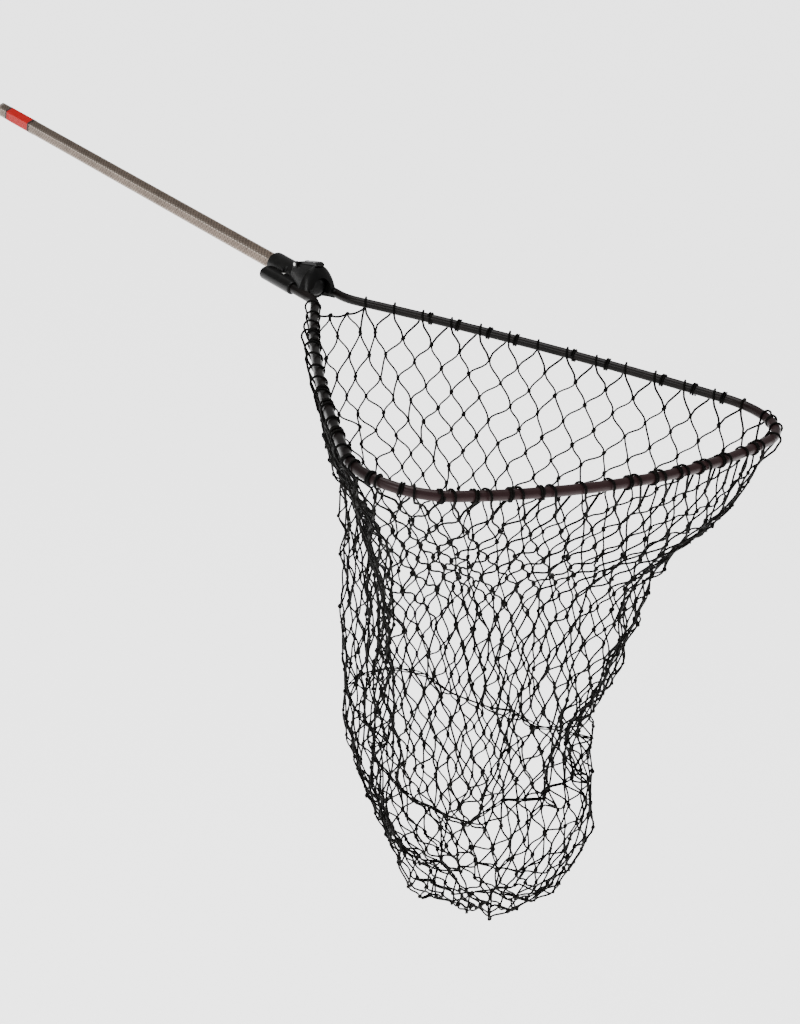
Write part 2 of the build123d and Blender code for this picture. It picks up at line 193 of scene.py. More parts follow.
class Graph:
    """A material's node tree, filled by plain calls."""

    def __init__(self, name: str) -> None:
        self.material = bpy.data.materials.new(name)
        self.material.use_nodes = True
        self.tree = self.material.node_tree
        self.tree.nodes.clear()

    def node(self, kind: str, settings: dict, inputs: dict) -> NodeOutputs:
        """Adds a shader node, to be asked for its outputs."""
        return NodeOutputs(self, add_node(self.tree, f"ShaderNode{kind}", settings, inputs))

    def place(self) -> Value:
        """The point in the object's own coordinates, in metres."""
        return self.node("TexCoord", {}, {}).out("Object")

    def axes(self, vector: Value) -> tuple[Value, Value, Value]:
        """The three parts of a vector."""
        parts = self.node("SeparateXYZ", {}, {"Vector": vector})
        return parts.out("X"), parts.out("Y"), parts.out("Z")

    def stretched(self, vector: Value, scale: tuple[float, float, float]) -> Value:
        """The vector times a scale along each axis."""
        settings = {"operation": "MULTIPLY"}
        return self.node("VectorMath", settings, {0: vector, 1: scale}).out("Vector")

    def noise(self, vector: Value, scale: float, detail: float = 4.0, rough: float = 0.55) -> Value:
        """Seeded cloudy noise between 0 and 1."""
        inputs = {"Vector": vector, "Scale": scale, "Detail": detail, "Roughness": rough}
        return self.node("TexNoise", {"noise_dimensions": "3D"}, inputs).out("Fac")

    def attribute(self, name: str) -> Value:
        """A number stored on the mesh."""
        return self.node("Attribute", {"attribute_name": name}, {}).out("Fac")

    def blend(self, factor, first, second) -> Value:
        """A colour between two colours."""
        colours = [c if isinstance(c, Value) else (*c, 1.0) for c in (first, second)]
        inputs = {"Factor": factor, "A": colours[0], "B": colours[1]}
        return self.node("Mix", {"data_type": "RGBA"}, inputs).out("Result")

    def surface(self, colour, roughness, height, depth: float, fixed: dict) -> Material:
        """Closes the graph with a principled surface.

        Args:
            colour: base colour.
            roughness: a value or a number.
            height: what the bump follows, from 0 to 1.
            depth: the bump's height in metres.
            fixed: uniform inputs of the surface.

        Returns:
            The finished material.
        """
        bump = self.node("Bump", {}, {"Strength": 1.0, "Distance": depth, "Height": height})
        inputs = {"Base Color": colour, "Roughness": roughness, "Normal": bump.out("Normal"), **fixed}
        shader = self.node("BsdfPrincipled", {}, inputs)
        self.node("OutputMaterial", {}, {"Surface": shader.out("BSDF")})
        return self.material


Colour = tuple[float, float, float]


@dataclass(frozen=True)
class Finish:
    """A material by name; each kind of finish says how its graph is painted."""

    name: str

    def paint(self, g: Graph, place: Value) -> Material:
        """Fills the graph from the point in object coordinates, and closes it."""
        raise NotImplementedError

    def build(self) -> Material:
        """Makes the material."""
        graph = Graph(self.name)
        return self.paint(graph, graph.place())


@dataclass(frozen=True)
class KnurledAnodising(Finish):
    """Champagne anodised aluminium with worn ridges, and painted shade that darkens the knurl's grooves."""

    ridge: Colour = (0.19, 0.145, 0.115)
    # root: the grooves' colour, darkened as painted shade; the random grime below uses it too.
    root: Colour = (0.05, 0.037, 0.029)
    worn: Colour = (0.50, 0.44, 0.38)

    def paint(self, g: Graph, place: Value) -> Material:
        height = g.attribute("knurl")
        streaks = g.noise(g.stretched(place, (25.0, 420.0, 420.0)), 1.0, 5.0)
        grime = g.noise(place, 38.0, 6.0, 0.65)
        fine = g.noise(place, 2400.0, 2.0)
        # Painted shade: the colour darkens from the ridge tops down into the knurl's grooves.
        base = g.blend(height.ramp(0.15, 0.85), self.root, self.ridge)
        aged = g.blend((grime - 0.42).most(0.0) * 1.6, base, self.root)
        edge = g.attribute("edge").ramp(0.35, 1.0) * height.ramp(0.6, 1.0) * (streaks * 0.9 + 0.25)
        colour = g.blend(edge.least(0.85), aged, self.worn)
        rough = (streaks * 0.22 + 0.30) + grime * 0.10
        return g.surface(colour, rough, fine * 0.35 + streaks * 0.65, 0.00008, {"Metallic": 0.85})


@dataclass(frozen=True)
class SatinBronze(Finish):
    """Bronze-coloured moulding with a fine matte grain."""

    light: Colour = (0.27, 0.235, 0.205)
    dark: Colour = (0.16, 0.14, 0.12)

    def paint(self, g: Graph, place: Value) -> Material:
        cloud = g.noise(place, 60.0, 6.0, 0.6)
        grain = g.noise(place, 2600.0, 3.0)
        colour = g.blend(cloud.ramp(0.3, 0.7), self.dark, self.light)
        return g.surface(colour, cloud * 0.2 + 0.36, grain, 0.00006, {"Metallic": 0.35, "Coat Weight": 0.1})


@dataclass(frozen=True)
class MouldedPlastic(Finish):
    """Black semi-gloss moulded plastic with faint flow marks, dust and handling scratches."""

    dark: Colour = (0.0022, 0.0021, 0.0020)
    dusty: Colour = (0.010, 0.010, 0.0095)

    def paint(self, g: Graph, place: Value) -> Material:
        cloud = g.noise(place, 45.0, 7.0, 0.62)
        grain = g.noise(place, 1500.0, 3.0)
        marks = g.noise(g.stretched(place, (90.0, 900.0, 500.0)), 1.0, 3.0, 0.7)
        scratch = marks.ramp(0.62, 0.70)
        colour = g.blend(cloud.ramp(0.45, 0.78, 0.0, 0.6) + scratch * 0.15, self.dark, self.dusty)
        rough = cloud * 0.24 + 0.20 + scratch * 0.12
        return g.surface(colour, rough, grain * 0.7 + marks * 0.3, 0.00008, {"Specular IOR Level": 0.15})


@dataclass(frozen=True)
class PlatedSteel(Finish):
    """Bright zinc plate with turning marks and a little tarnish."""

    bright: Colour = (0.62, 0.62, 0.60)
    tarnish: Colour = (0.30, 0.28, 0.24)

    def paint(self, g: Graph, place: Value) -> Material:
        cloud = g.noise(place, 420.0, 5.0, 0.6)
        turned = g.noise(g.stretched(place, (2500.0, 2500.0, 300.0)), 1.0, 2.0)
        colour = g.blend(cloud.ramp(0.48, 0.75), self.bright, self.tarnish)
        return g.surface(colour, turned * 0.2 + 0.2 + cloud * 0.1, turned, 0.00003, {"Metallic": 1.0})


@dataclass(frozen=True)
class BorderedFilm(Finish):
    """A plain red wrap of film with a dark border at each end and a paler worn middle."""

    low: float
    high: float
    border: float = 0.0045
    red: Colour = (0.36, 0.004, 0.004)
    pale: Colour = (0.42, 0.018, 0.015)
    dark: Colour = (0.03, 0.02, 0.02)

    def paint(self, g: Graph, place: Value) -> Material:
        along = g.axes(place)[0]
        wear = g.noise(place, 140.0, 6.0, 0.7)
        fine = g.noise(place, 1800.0, 2.0)
        distance = (along - self.low).least(self.high - along)
        edge = distance.ramp(self.border - 0.0004, self.border + 0.0004, 1.0, 0.0)
        body = g.blend(wear.ramp(0.52, 0.75), self.red, self.pale)
        colour = g.blend(edge, body, self.dark)
        return g.surface(colour, wear * 0.25 + 0.35, fine, 0.00004, {"Specular IOR Level": 0.12})


@dataclass(frozen=True)
class DarkAnodising(Finish):
    """Dark brown-black anodised tube, with a painted purple sheen towards the front."""

    front: float
    black: Colour = (0.0022, 0.0018, 0.0016)
    brown: Colour = (0.007, 0.005, 0.0045)
    # purple: the colour of the painted sheen on the hoop's front.
    purple: Colour = (0.034, 0.017, 0.018)

    def paint(self, g: Graph, place: Value) -> Material:
        along = g.axes(place)[0]
        cloud = g.noise(place, 24.0, 6.0, 0.6)
        drawn = g.noise(place, 900.0, 3.0)
        rub = g.noise(place, 160.0, 5.0, 0.7)
        tone = g.blend(cloud.ramp(0.35, 0.7), self.black, self.brown)
        # Painted sheen: the tone turns lighter and purple towards the front of the hoop.
        tone = g.blend(along.ramp(self.front - 0.20, self.front, 0.0, 0.75), tone, self.purple)
        colour = g.blend(rub.ramp(0.62, 0.75, 0.0, 0.35), tone, (0.030, 0.022, 0.020))
        rough = cloud * 0.2 + 0.20 + rub * 0.1
        return g.surface(colour, rough, drawn, 0.00004, {"Metallic": 0.10, "Specular IOR Level": 0.12})


@dataclass(frozen=True)
class SoftRubber(Finish):
    """Matte black rubber with a fine grain."""

    def paint(self, g: Graph, place: Value) -> Material:
        grain = g.noise(place, 1800.0, 4.0)
        cloud = g.noise(place, 200.0, 4.0)
        colour = g.blend(cloud, (0.012, 0.012, 0.012), (0.03, 0.03, 0.03))
        return g.surface(colour, cloud * 0.15 + 0.75, grain, 0.0001, {})


@dataclass(frozen=True)
class TwistedTwine(Finish):
    """Black laid nylon twine: plies that wind round the strand, with dusty and slightly brown stretches, and
    painted shade in the grooves between the plies.
    """

    ply_pitch: float = 0.0032
    dark: Colour = (0.0012, 0.0011, 0.0010)
    dusty: Colour = (0.0065, 0.0056, 0.0045)

    def paint(self, g: Graph, place: Value) -> Material:
        wind = g.attribute("along") / self.ply_pitch + g.attribute("around")
        plies = (wind * (2 * math.pi)).sine() * 0.5 + 0.5
        fuzz = g.noise(place, 1600.0, 3.0)
        cloud = g.noise(place, 30.0, 5.0, 0.6)
        shade = cloud.ramp(0.40, 0.75, 0.0, 0.7) + fuzz * 0.2
        # Painted shade: the colour darkens into the grooves between the plies.
        colour = g.blend(shade * (plies * 0.6 + 0.4), self.dark, self.dusty)
        height = plies * 0.75 + fuzz * 0.25
        return g.surface(colour, fuzz * 0.2 + 0.52, height, 0.00035, {"Specular IOR Level": 0.05})


@dataclass(frozen=True)
class PaleFloor(Finish):
    """An even, very pale studio floor that glows a little, as a lit white sweep does."""

    glow: float = 2.6

    def paint(self, g: Graph, place: Value) -> Material:
        cloud = g.noise(place, 0.4, 2.0)
        colour = g.blend(cloud, (0.90, 0.90, 0.90), (0.93, 0.93, 0.93))
        fixed = {"Emission Color": (1.0, 1.0, 1.0, 1.0), "Emission Strength": self.glow}
        return g.surface(colour, cloud * 0.1 + 0.85, cloud, 0.0001, fixed)


# Mesh and node helpers


def new_object(name: str, mesh: Mesh) -> Object:
    """Links a mesh into the scene as a new object at the origin."""
    made = bpy.data.objects.new(name, mesh)
    bpy.context.scene.collection.objects.link(made)
    return made


def lines_mesh(name: str, lines: list[np.ndarray]) -> Mesh:
    """A mesh of edges only: one chain of points for each line."""
    points = np.vstack(lines)
    edges, start = [], 0
    for line in lines:
        edges += [(start + i, start + i + 1) for i in range(len(line) - 1)]
        start += len(line)
    mesh = bpy.data.meshes.new(name)
    mesh.from_pydata(points.tolist(), edges, [])
    return mesh


def part_way(at: np.ndarray, points: np.ndarray) -> np.ndarray:
    """Points at fractional places along a chain of points."""
    places = np.arange(len(points))
    return np.c_[[np.interp(at, places, points[:, i]) for i in range(points.shape[1])]].T


class Recipe:
    """A Geometry Nodes group put together by plain calls."""

    def __init__(self, name: str) -> None:
        self.group = bpy.data.node_groups.new(name, "GeometryNodeTree")
        self.face = self.group.interface
        self.names: dict[str, str] = {}
        self.socket("Geometry", "Geometry")
        self.face.new_socket("Geometry", in_out="OUTPUT", socket_type="NodeSocketGeometry")
        self.start = self.group.nodes.new("NodeGroupInput")
        self.end = self.group.nodes.new("NodeGroupOutput")

    def socket(self, name: str, kind: str) -> None:
        """Adds a named input to the group."""
        made = self.face.new_socket(name, in_out="INPUT", socket_type=f"NodeSocket{kind}")
        self.names[name] = made.identifier

    def given(self, name: str) -> NodeSocket:
        """The group's own input by name."""
        return self.start.outputs[name]

    def node(self, kind: str, settings: dict, inputs: dict) -> Node:
        """Adds a geometry node to the group."""
        return add_node(self.group, f"GeometryNode{kind}", settings, inputs)

    def close(self, geometry: NodeSocket) -> None:
        """Ends the group: real geometry with the given material."""
        real = self.node("RealizeInstances", {}, {"Geometry": geometry})
        smooth = self.node("SetShadeSmooth", {}, {0: real.outputs[0]})
        inputs = {"Geometry": smooth.outputs[0], "Material": self.given("Material")}
        painted = self.node("SetMaterial", {}, inputs)
        self.group.links.new(painted.outputs[0], self.end.inputs[0])

    def apply(self, name: str, mesh: Mesh, values: dict) -> Object:
        """Runs the group on a mesh and keeps the result as a plain object.

        Args:
            name: the new piece's name.
            mesh: what the group starts from.
            values: the group's inputs by name.

        Returns:
            The finished piece, with no modifier on it.
        """
        seed = new_object(f"{name}_seed", mesh)
        modifier = seed.modifiers.new("recipe", "NODES")
        modifier.node_group = self.group
        for key, value in values.items():
            modifier[self.names[key]] = value
        graph = bpy.context.evaluated_depsgraph_get()
        finished = bpy.data.meshes.new_from_object(seed.evaluated_get(graph))
        bpy.data.objects.remove(seed)
        finished.name = name
        log.info("%s: %d faces", name, len(finished.polygons))
        return new_object(name, finished)


class TwineRecipe(Recipe):
    """Turns chains of edges into closed tubes that know how far along and round each point is."""

    def __init__(self) -> None:
        super().__init__("twine")
        self.socket("Radius", "Float")
        self.socket("Sides", "Int")
        self.socket("Material", "Material")
        chain = self.node("MeshToCurve", {}, {"Mesh": self.given("Geometry")})
        parameter = self.node("SplineParameter", {}, {})
        stored = {"data_type": "FLOAT", "domain": "POINT"}
        along = self.node("StoreNamedAttribute", stored, {
            "Geometry": chain.outputs[0], "Name": "along", "Value": parameter.outputs["Length"]})
        ring = self.node("CurvePrimitiveCircle", {}, {
            "Resolution": self.given("Sides"), "Radius": self.given("Radius")})
        around = self.node("StoreNamedAttribute", stored, {
            "Geometry": ring.outputs[0], "Name": "around", "Value": parameter.outputs["Factor"]})
        tube = self.node("CurveToMesh", {}, {
            "Curve": along.outputs[0], "Profile Curve": around.outputs[0], "Fill Caps": True})
        self.close(tube.outputs[0])


class KnotRecipe(Recipe):
    """Puts one knot on every point, turned and sized as the point says."""

    def __init__(self) -> None:
        super().__init__("knots")
        self.socket("Knot", "Object")
        self.socket("Material", "Material")
        shape = self.node("ObjectInfo", {}, {"Object": self.given("Knot")})
        turn = self.node("InputNamedAttribute", {"data_type": "FLOAT_VECTOR"}, {"Name": "turn"})
        size = self.node("InputNamedAttribute", {"data_type": "FLOAT"}, {"Name": "size"})
        placed = self.node("InstanceOnPoints", {}, {
            "Points": self.given("Geometry"), "Instance": shape.outputs["Geometry"],
            "Rotation": turn.outputs["Attribute"], "Scale": size.outputs["Attribute"]})
        self.close(placed.outputs[0])


def put(piece: Object, body: Body, replaced: tuple[str, ...] = ()) -> None:
    """Says which body a piece rides on and which CAD nodes it stands for."""
    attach(piece, body.value)
    if replaced:
        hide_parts(*replaced)


# Handle


@dataclass
class KnurledHandle:
    """The hexagonal tube with its rolled diamond knurl.

    Attributes:
        pitch: distance between ridges along the tube.
        depth: how far the grooves go in.
        edge_radius: the rounding of the six edges.
        wall: the tube's wall.
        plain_end: smooth length at each end.
        nominal_girth: the way round, which sets how many diamonds there are.
        squat: a diamond's width over its length.
        crest: how steeply a ridge rises.
        closing: the outline's last step, back to its first point.
    """

    pitch: float = 7.0 * MM
    depth: float = 0.42 * MM
    edge_radius: float = 2.0 * MM
    wall: float = 1.6 * MM
    plain_end: float = 4.0 * MM
    nominal_girth: float = 75.6 * MM
    squat: float = 0.9
    crest: float = 2.2
    closing: float = 1.0 * MM
    ring_step: float = 1.25 * MM
    flat_steps: int = 8
    arc_steps: int = 2

    def outline(self, apothem: float) -> tuple[np.ndarray, np.ndarray, np.ndarray]:
        """Points round the hexagon, corner upward, the way out at each and its nearness to an edge."""
        half = (apothem - self.edge_radius) * math.tan(math.pi / 6)
        points, normals, edges = [], [], []
        for side in range(6):
            middle = side * math.pi / 3
            out = np.array([math.cos(middle), math.sin(middle)])
            run = np.array([-out[1], out[0]])
            for step in range(self.flat_steps):
                share = -1 + 2 * step / self.flat_steps
                points.append(out * apothem + run * half * share)
                normals.append(out)
                edges.append(abs(share) ** 3)
            centre = out * (apothem - self.edge_radius) + run * half
            for step in range(self.arc_steps):
                angle = middle + math.pi / 3 * step / self.arc_steps
                way = np.array([math.cos(angle), math.sin(angle)])
                points.append(centre + way * self.edge_radius)
                normals.append(way)
                edges.append(1.0)
        return np.array(points), np.array(normals), np.array(edges)

    def build(self) -> Object:
        """Makes the closed tube and stores the knurl's height and nearness to an edge on it."""
        low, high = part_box("handle_tube")
        apothem = (high.y - low.y) / 2
        points, normals, edges = self.outline(apothem)
        count = len(points)
        rings = int((high.x - low.x) / self.ring_step)
        x = np.linspace(low.x, high.x, rings + 1)
        girth = np.r_[0, np.cumsum(norm(np.diff(points, axis=0, append=points[:1]), axis=1))][:-1]
        turns = round(self.nominal_girth / (self.pitch * self.squat))
        around = girth / (girth[-1] + self.closing) * turns
        first = np.abs(np.sin(np.pi * (x[:, None] / self.pitch + around[None, :])))
        second = np.abs(np.sin(np.pi * (x[:, None] / self.pitch - around[None, :])))
        height = np.clip(np.minimum(first, second) * self.crest, 0, 1)
        rolled = np.clip(np.minimum(x - low.x, high.x - x) / self.plain_end - 0.3, 0, 1)[:, None]
        height = 1 - (1 - height) * rolled
        reach = -self.depth * (1 - height)
        outer = np.empty((rings + 1, count, 3))
        outer[:, :, 0] = x[:, None]
        outer[:, :, 1:] = points[None] + normals[None] * reach[:, :, None]
        inner_points = self.outline(apothem - self.wall)[0]
        inner = np.empty((2, count, 3))
        inner[:, :, 0] = x[[0, -1], None]
        inner[:, :, 1:] = inner_points[None]
        grid = np.vstack([outer.reshape(-1, 3), inner[1], inner[0]])
        faces = []
        total = rings + 3
        for ring in range(total):
            after = (ring + 1) % total
            here, there = ring * count, after * count
            for i in range(count):
                j = (i + 1) % count
                faces.append((here + i, here + j, there + j, there + i))
        mesh = bpy.data.meshes.new("knurled_handle")
        mesh.from_pydata(grid.tolist(), [], faces)
        for name, values in (("knurl", height), ("edge", np.broadcast_to(edges, height.shape))):
            stored = mesh.attributes.new(name, "FLOAT", "POINT")
            stored.data.foreach_set("value", np.r_[values.ravel(), np.zeros(2 * count)].astype(np.float32))
        edit = bmesh.new()
        edit.from_mesh(mesh)
        bmesh.ops.recalc_face_normals(edit, faces=edit.faces)
        edit.to_mesh(mesh)
        edit.free()
        mesh.shade_smooth()
        log.info("knurled_handle: %d faces", len(mesh.polygons))
        return new_object("knurled_handle", mesh)

    def dress(self, piece: Object, finish: Finish) -> None:
        """Paints the tube and puts it in the place of the CAD tube."""
        piece.data.materials.append(finish.build())
        put(piece, Body.HANDLE, ("handle_tube",))


# Net


@dataclass(frozen=True)
class Pleat:
    """One deep fold that runs into the bag.

    Attributes:
        bearing: where it is round the bag, in radians from +X.
        depth: how far below the hoop it is deepest.
        width: how wide it is, in radians.
        reach: how far up and down it fades.
        push: how far in it goes.
    """

    bearing: float
    depth: float
    width: float
    reach: float
    push: float


@dataclass
class Drape:
    """The net bag's knots: laid out on the CAD bag row by row, then let sag.

    Attributes:
        bar: the length of twine between two knots.
        stretch: how much of a bar's length its knots are laid apart.
        blend_depth: how far down the hoop's own shape fades out.
        base_bar: the spacing of knots round the base.
        apex_columns: knots between the two ends of the hoop.
        plumb: the way things fall, in the row frame.
        inset: how far inside the CAD bag the knots are laid.
        fold, fold_depth: how deep the soft waves are, and where they are full.
        lobes, lobe_shares: how many waves go round, and how much each counts.
        noise, noise_depth: how far a knot is off its place, and where that is full.
        steps, passes, beat, drag: the simulation's steps, passes, step in seconds and kept speed.
        hold, least_hold, lift: how strongly a knot is drawn back, sideways and in height.
        loose_depth: how far down knots hang freely.
        shortest, uneven: how short a bar may get, and how its length varies.
        samples, base_samples: points round one row when it is measured or laid.
        pleats: the deep folds.
    """

    bar: float = 35.0 * MM
    stretch: float = 0.92
    blend_depth: float = 210.0 * MM
    base_bar: float = 32.0 * MM
    apex_columns: int = 2
    plumb: tuple[float, float, float] = (0.09, 0.113, -0.99)
    inset: float = 0.985
    fold: float = 36.0 * MM
    noise: float = 3.5 * MM
    fold_depth: float = 0.22
    lobes: tuple[int, ...] = (4, 7, 11, 3)
    lobe_shares: tuple[float, ...] = (0.45, 0.5, 0.5, 0.5)
    noise_depth: float = 0.06
    steps: int = 160
    passes: int = 10
    beat: float = 0.010
    drag: float = 0.93
    least_hold: float = 0.004
    shortest: float = 0.78
    uneven: float = 0.03
    samples: int = 96
    base_samples: int = 360
    hold: float = 0.24
    lift: float = 0.02
    loose_depth: float = 80.0 * MM
    pleats: tuple[Pleat, ...] = (
        Pleat(bearing=-0.85, depth=0.19, width=0.30, reach=0.12, push=75.0 * MM),
        Pleat(bearing=0.80, depth=0.45, width=0.45, reach=0.06, push=40.0 * MM))
    seed: int = 7

    def __post_init__(self) -> None:
        self.random = np.random.default_rng(self.seed)
        self.wall = self.triangles("net_wall")
        self.base = self.triangles("net_base")
        self.seam_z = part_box("seam_cord")[0].z * 0.5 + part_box("seam_cord")[1].z * 0.5
        self.bottom_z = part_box("net_base")[0].z

    @staticmethod
    def triangles(node: str) -> np.ndarray:
        """A CAD node's triangles as an array of corner points."""
        mesh = bpy.data.objects[node].data
        mesh.calc_loop_triangles()
        points = np.array([v.co[:] for v in mesh.vertices])
        return points[np.array([t.vertices[:] for t in mesh.loop_triangles])]

    @staticmethod
    def rings(node: str, reach: float = 19.0 * MM) -> tuple[np.ndarray, np.ndarray]:
        """The centre and axis of every ring in the CAD's rim loops, in order round the hoop."""
        points = np.array([v.co[:] for v in bpy.data.objects[node].data.vertices])
        centres, axes = [], []
        while len(points):
            near = norm(points - points[0], axis=1) < reach
            ring, points = points[near], points[~near]
            centre = (ring.min(0) + ring.max(0)) / 2
            centre = ring.mean(0) * 0.5 + centre * 0.5
            centres.append(centre)
            axes.append(np.linalg.svd(ring - ring.mean(0))[2][2])
        centres, axes = np.array(centres), np.array(axes)
        middle = centres.mean(0)
        bearing = np.arctan2(-(centres[:, 1] - middle[1]), -(centres[:, 0] - middle[0]))
        order = np.argsort(-bearing % (2 * math.pi))
        centres, axes = centres[order], axes[order]
        ahead = np.roll(centres, -1, 0) - np.roll(centres, 1, 0)
        ahead[0], ahead[-1] = centres[1] - centres[0], centres[-1] - centres[-2]
        axes *= np.sign((axes * ahead).sum(1))[:, None]
        return centres, axes

    def outline(self, z: float, count: int, phase: float) -> np.ndarray:
        """Evenly spaced points round the CAD bag at one height.

        Args:
            z: the height.
            count: how many points.
            phase: how far round the first one is, in points, from the rear and towards +Y.

        Returns:
            The points, one a row.
        """
        soup = self.wall if z > self.seam_z else self.base
        heights = soup[:, :, 2]
        z = min(max(z, heights.min() + 2 * MM), heights.max() - 1 * MM)
        found = []
        for a, b in ((0, 1), (1, 2), (2, 0)):
            start, end = soup[:, a], soup[:, b]
            cross = (start[:, 2] - z) * (end[:, 2] - z) < 0
            share = (z - start[cross, 2]) / (end[cross, 2] - start[cross, 2])
            found.append(start[cross] + (end[cross] - start[cross]) * share[:, None])
        flat = np.vstack(found)[:, :2]
        hull = flat[convex_hull_2d([Vector(p) for p in flat.tolist()])]
        area = (hull[:, 0] * np.roll(hull[:, 1], -1) - hull[:, 1] * np.roll(hull[:, 0], -1)).sum()
        hull = hull[::-1] if area > 0 else hull
        hull = np.roll(hull, -int(hull[:, 0].argmin()), 0)
        hull = np.vstack([hull, hull[:1]])
        run = np.r_[0, np.cumsum(norm(np.diff(hull, axis=0), axis=1))]
        self.girth = run[-1]
        at = ((np.arange(count) + phase) / count % 1.0) * run[-1]
        points = np.c_[np.interp(at, run, hull[:, 0]), np.interp(at, run, hull[:, 1])]
        middle = points.mean(0)
        points = middle + (points - middle) * self.inset
        return np.c_[points, np.full(count, z)]

    def shape(self, z: float, count: int, phase: float) -> np.ndarray:
        """The bag's outline at one height: the hoop's shape at the top, the CAD bag's further down."""
        row = self.outline(z, count, phase)
        share = min(max((self.top[0, 2] - z) / self.blend_depth, 0.0), 1.0)
        share = share * share * (3 - 2 * share)
        index = (((np.arange(count) + phase) / count) % 1.0 * self.columns - self.lag) % self.columns
        closed = np.vstack([self.top, self.top[:1]])
        rim = part_way(index, closed[:, :2])
        row[:, :2] = rim * (1 - share) + row[:, :2] * share
        row[:, 2] = z
        return row

    def descend(self, z: float) -> float:
        """The height of the next row: one row of stretched meshes further down the bag's surface."""
        here = self.shape(z, self.samples, 0.0)
        width = norm(np.diff(here, axis=0), axis=1).mean() * self.samples / self.columns
        width = max(min(width, 1.6 * self.bar), 0.72 * self.bar)
        spacing = math.sqrt((self.stretch * self.bar) ** 2 - (width / 2) ** 2)
        low, high = 0.0, spacing
        for _ in range(12):
            middle = (low + high) / 2
            gap = norm(self.shape(z - middle, self.samples, 0.0) - here, axis=1).mean()
            low, high = (middle, high) if gap < spacing else (low, middle)
        return z - low

    def folded(self, row: np.ndarray, depth: float) -> np.ndarray:
        """Pushes a row in and out in soft vertical folds that grow with depth."""
        middle = row.mean(0)
        away = row - middle
        bearing = np.arctan2(away[:, 1], away[:, 0])
        wave = sum(share * np.sin(lobes * bearing + start + drift * depth)
                   for lobes, share, start, drift in self.waves)
        strength = self.fold * min(1.0, depth / self.fold_depth)
        shape = norm(away[:, :2], axis=1)
        push = -strength * (0.5 + 0.5 * wave)
        for pleat in self.pleats:
            off = (bearing - pleat.bearing + math.pi) % (2 * math.pi) - math.pi
            fade = math.exp(-(((depth - pleat.depth) / pleat.reach) ** 2))
            push -= pleat.push * fade * np.exp(-((off / pleat.width) ** 2))
        row = row.copy()
        row[:, :2] += away[:, :2] / shape[:, None] * push[:, None]
        row += self.random.normal(0, self.noise, row.shape) * min(1.0, depth / self.noise_depth)
        return row

    def lay_out(self) -> None:
        """Places all knots and joins them by bars of twine."""
        self.ring_centres, self.ring_axes = self.rings("rim_loops")
        radius = (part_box("hoop_tube")[1].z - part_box("hoop_tube")[0].z) / 2
        self.tube_radius = radius
        draws = self.random.random((4, 4))
        self.waves = [(lobes, share, 2 * math.pi * d[0], 9 * (d[1] - 0.5))
                      for lobes, share, d in zip(self.lobes, self.lobe_shares, draws)]
        top = self.ring_centres - np.array([0, 0, radius + 1.2 * MM])
        first, last = top[0], top[-1]
        shares = (np.arange(self.apex_columns) + 1) / (self.apex_columns + 1)
        apex = last + (first - last) * shares[:, None] + np.array([0.0, 0, -6.0 * MM])
        self.top = np.vstack([top, apex])
        rows = [self.top]
        self.columns = columns = len(self.top)
        self.lag = lag = self.apex_columns / 2 + 0.5
        z = top[0, 2]
        while z > self.seam_z + 10 * MM:
            z = max(self.descend(z), self.seam_z)
            row = self.shape(z, columns, lag + (0.5 if len(rows) % 2 else 0.0))
            rows.append(self.folded(row, top[0, 2] - z))
        self.seam_row = len(rows) - 1
        profile = self.base_profile()
        fractions = [((np.arange(columns) + lag + 0.5 * (i % 2)) / columns) % 1.0 for i in range(len(rows))]
        count = columns
        for number, (z, shrink) in enumerate(profile):
            row = self.outline(z, self.base_samples, 0.0)
            centre = row.mean(0)
            girth = self.girth * shrink
            count = max(4, min(count, round(girth / self.base_bar)))
            share = ((np.arange(count) + 0.5 * (number % 2) + self.random.random() * 0.3) / count) % 1.0
            place = np.round(share * self.base_samples).astype(int) % self.base_samples
            row = centre + (row[place] - centre) * shrink
            rows.append(self.folded(row, 0.10 * shrink))
            fractions.append(share)
        self.rows = []
        start = 0
        for row in rows:
            self.rows.append(np.arange(start, start + len(row)))
            start += len(row)
        self.knots = np.vstack(rows)
        bars = []
        for number in range(1, len(rows)):
            upper, lower = self.rows[number - 1], self.rows[number]
            if number <= self.seam_row:
                ahead = np.roll(np.arange(columns), -1)
                bars += list(zip(upper, lower))
                bars += list(zip(upper[ahead], lower)) if number % 2 else list(zip(upper, lower[ahead]))
            else:
                for k, share in enumerate(fractions[number - 1]):
                    gap = np.abs((fractions[number] - share + 0.5) % 1.0 - 0.5)
                    near = np.argsort(gap)[:2]
                    bars += [(upper[k], lower[near[0]]), (upper[k], lower[near[1]])]
        self.bars = np.array(sorted(set(bars)))

    def base_profile(self) -> list[tuple[float, float]]:
        """Heights of the base's rows, and how far each is drawn in on the flat bottom."""
        profile = []
        z = self.descend(self.seam_z)
        while z > self.bottom_z + 12 * MM:
            profile.append((z, 1.0))
            z = self.descend(z)
        bottom = self.bottom_z + 4 * MM
        return profile + [(bottom, 0.55), (bottom, 0.15)]

    def groups(self) -> list[np.ndarray]:
        """The bars in groups in which no knot appears twice."""
        used: list[set[int]] = [set() for _ in range(len(self.knots))]
        group = np.zeros(len(self.bars), int)
        for number, (a, b) in enumerate(self.bars):
            colour = 0
            while colour in used[a] or colour in used[b]:
                colour += 1
            used[a].add(colour)
            used[b].add(colour)
            group[number] = colour
        return [np.where(group == c)[0] for c in range(group.max() + 1)]

